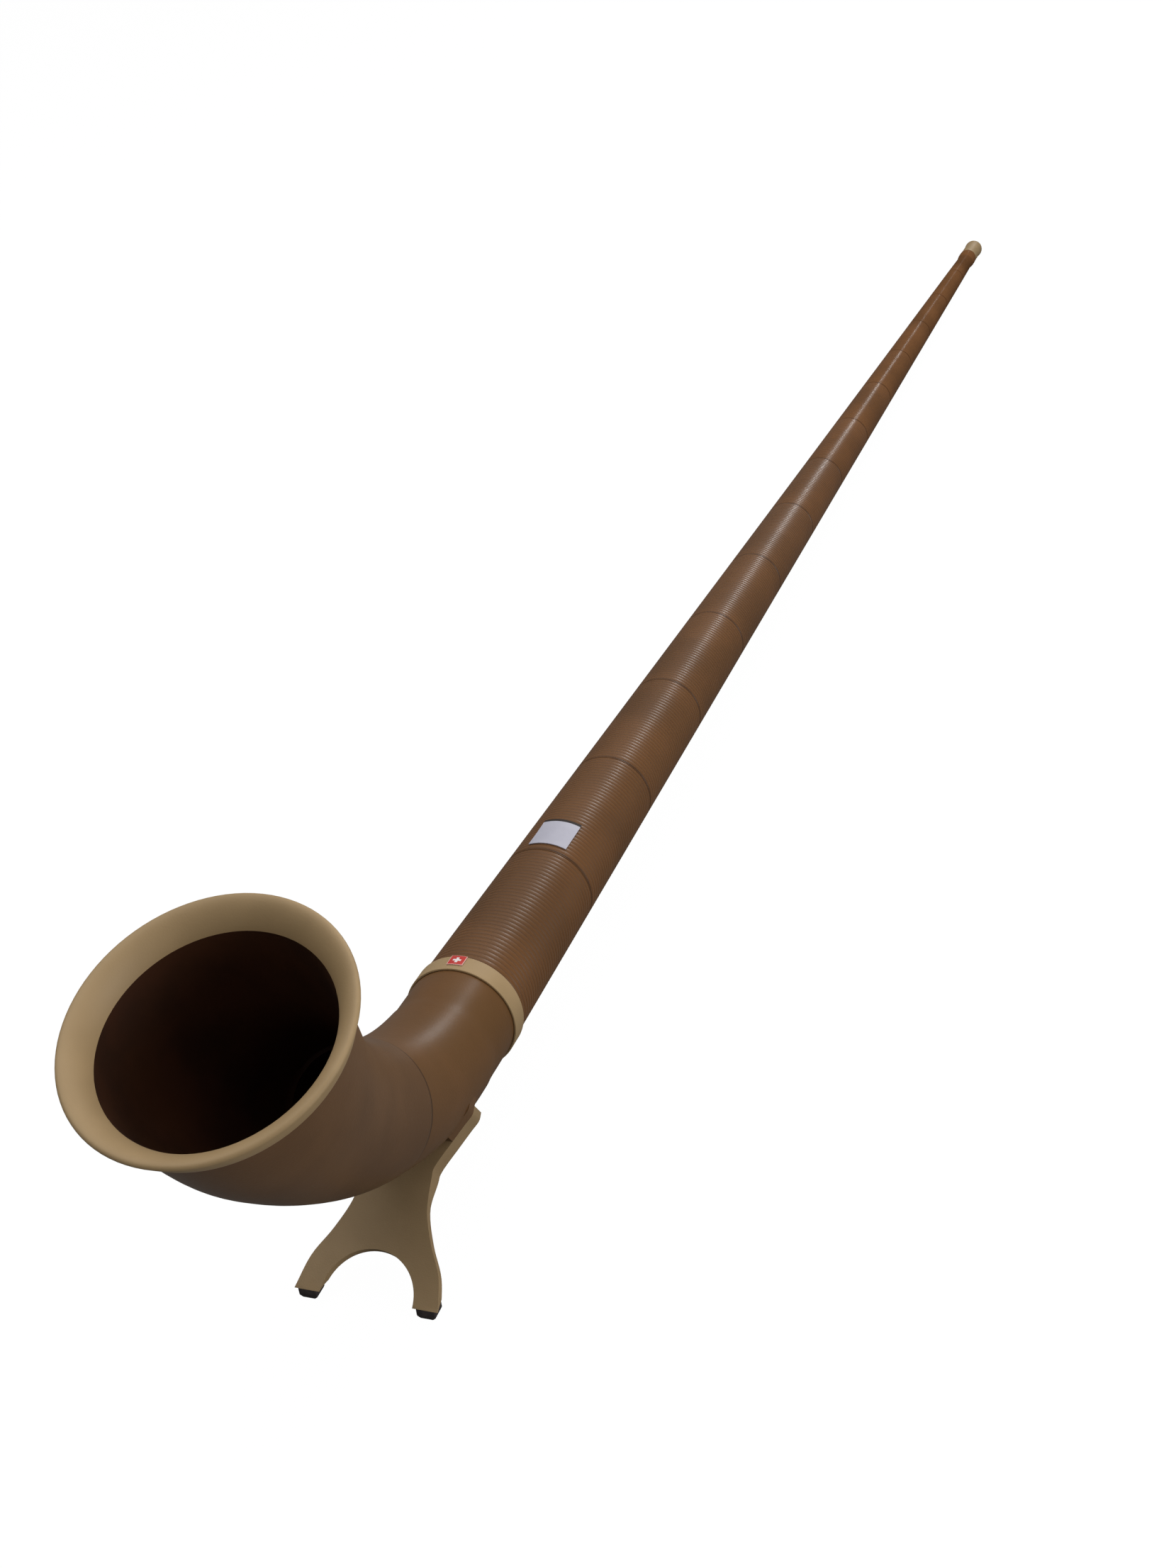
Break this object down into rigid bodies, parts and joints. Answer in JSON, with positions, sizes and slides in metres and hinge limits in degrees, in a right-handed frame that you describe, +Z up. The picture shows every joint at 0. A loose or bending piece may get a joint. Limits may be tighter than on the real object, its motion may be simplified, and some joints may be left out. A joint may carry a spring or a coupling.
{
  "type": "alphorn",
  "caption": "Plug-together alphorn with ribbed tapered tubes, an upturned flared bell, a ball mouthpiece and a forked stand with rubber feet, laid on stand and mouthpiece.",
  "frame": {"origin": "centre of the bounding box's base, on the floor, below the middle of the horn's length", "axes": "+Y from the bell towards the mouthpiece, +X to the right of the upturned bell seen from the front, +Z up"},
  "size_m": [0.2172, 3.399, 0.4195],
  "materials": {
    "brown_plastic": "satin brown, with fine ridges round the tubes",
    "bell_brown_plastic": "matte greyer brown, very fine layers",
    "beige_plastic": "matte beige",
    "seal_rubber": "matte black",
    "foot_rubber": "matte dark brown",
    "label_film": "silvery white, satin",
    "badge_red": "red with a white cross"
  },
  "bodies": {
    "elbow": {"elbow": "brown_plastic", "collar_ring": "beige_plastic", "collar_badge": "badge_red", "bell_seal": "seal_rubber"},
    "bell": {"bell_body": "bell_brown_plastic", "bell_rim": "beige_plastic"},
    "stand": {"stand": "beige_plastic", "foot_pad_left": "foot_rubber", "foot_pad_right": "foot_rubber"},
    "tube_01": {"tube_01": "brown_plastic", "tube_seal_01": "seal_rubber"},
    "tube_02": {"tube_02": "brown_plastic", "tube_seal_02": "seal_rubber", "label_plate": "label_film"},
    "tube_03": {"tube_03": "brown_plastic", "tube_seal_03": "seal_rubber"},
    "tube_04": {"tube_04": "brown_plastic", "tube_seal_04": "seal_rubber"},
    "tube_05": {"tube_05": "brown_plastic", "tube_seal_05": "seal_rubber"},
    "tube_06": {"tube_06": "brown_plastic", "tube_seal_06": "seal_rubber"},
    "tube_07": {"tube_07": "brown_plastic", "tube_seal_07": "seal_rubber"},
    "tube_08": {"tube_08": "brown_plastic", "tube_seal_08": "seal_rubber"},
    "tube_09": {"tube_09": "brown_plastic", "tube_seal_09": "seal_rubber"},
    "tube_10": {"tube_10": "brown_plastic", "tube_seal_10": "seal_rubber"},
    "tube_11": {"tube_11": "brown_plastic", "tube_seal_11": "seal_rubber"},
    "tube_12": {"tube_12": "brown_plastic", "tube_seal_12": "seal_rubber"},
    "tube_13": {"tube_13": "brown_plastic", "tube_seal_13": "seal_rubber"},
    "receiver": {"receiver": "brown_plastic", "receiver_seal": "seal_rubber"},
    "mouthpiece": {"mouthpiece": "beige_plastic"}
  },
  "joints": [
    {"name": "bell_slide", "type": "slide", "parent": "elbow", "child": "bell", "axis": [0, -0.8545, 0.5194], "range_m": [0, 0.022]},
    {"name": "stand_slide", "type": "slide", "parent": "elbow", "child": "stand", "axis": [0, -0.8376, -0.5462], "range_m": [0, 0.06]},
    {"name": "tube_01_slide", "type": "slide", "parent": "elbow", "child": "tube_01", "axis": [0, 0.9995, -0.033], "range_m": [0, 0.022]},
    {"name": "tube_02_slide", "type": "slide", "parent": "tube_01", "child": "tube_02", "axis": [0, 0.9995, -0.033], "range_m": [0, 0.022]},
    {"name": "tube_03_slide", "type": "slide", "parent": "tube_02", "child": "tube_03", "axis": [0, 0.9995, -0.033], "range_m": [0, 0.022]},
    {"name": "tube_04_slide", "type": "slide", "parent": "tube_03", "child": "tube_04", "axis": [0, 0.9995, -0.033], "range_m": [0, 0.022]},
    {"name": "tube_05_slide", "type": "slide", "parent": "tube_04", "child": "tube_05", "axis": [0, 0.9995, -0.033], "range_m": [0, 0.022]},
    {"name": "tube_06_slide", "type": "slide", "parent": "tube_05", "child": "tube_06", "axis": [0, 0.9995, -0.033], "range_m": [0, 0.022]},
    {"name": "tube_07_slide", "type": "slide", "parent": "tube_06", "child": "tube_07", "axis": [0, 0.9995, -0.033], "range_m": [0, 0.022]},
    {"name": "tube_08_slide", "type": "slide", "parent": "tube_07", "child": "tube_08", "axis": [0, 0.9995, -0.033], "range_m": [0, 0.022]},
    {"name": "tube_09_slide", "type": "slide", "parent": "tube_08", "child": "tube_09", "axis": [0, 0.9995, -0.033], "range_m": [0, 0.022]},
    {"name": "tube_10_slide", "type": "slide", "parent": "tube_09", "child": "tube_10", "axis": [0, 0.9995, -0.033], "range_m": [0, 0.022]},
    {"name": "tube_11_slide", "type": "slide", "parent": "tube_10", "child": "tube_11", "axis": [0, 0.9995, -0.033], "range_m": [0, 0.022]},
    {"name": "tube_12_slide", "type": "slide", "parent": "tube_11", "child": "tube_12", "axis": [0, 0.9995, -0.033], "range_m": [0, 0.022]},
    {"name": "tube_13_slide", "type": "slide", "parent": "tube_12", "child": "tube_13", "axis": [0, 0.9995, -0.033], "range_m": [0, 0.022]},
    {"name": "receiver_slide", "type": "slide", "parent": "tube_13", "child": "receiver", "axis": [0, 0.9995, -0.033], "range_m": [0, 0.022]},
    {"name": "mouthpiece_slide", "type": "slide", "parent": "receiver", "child": "mouthpiece", "axis": [0, 0.9995, -0.033], "range_m": [0, 0.034]}
  ]
}
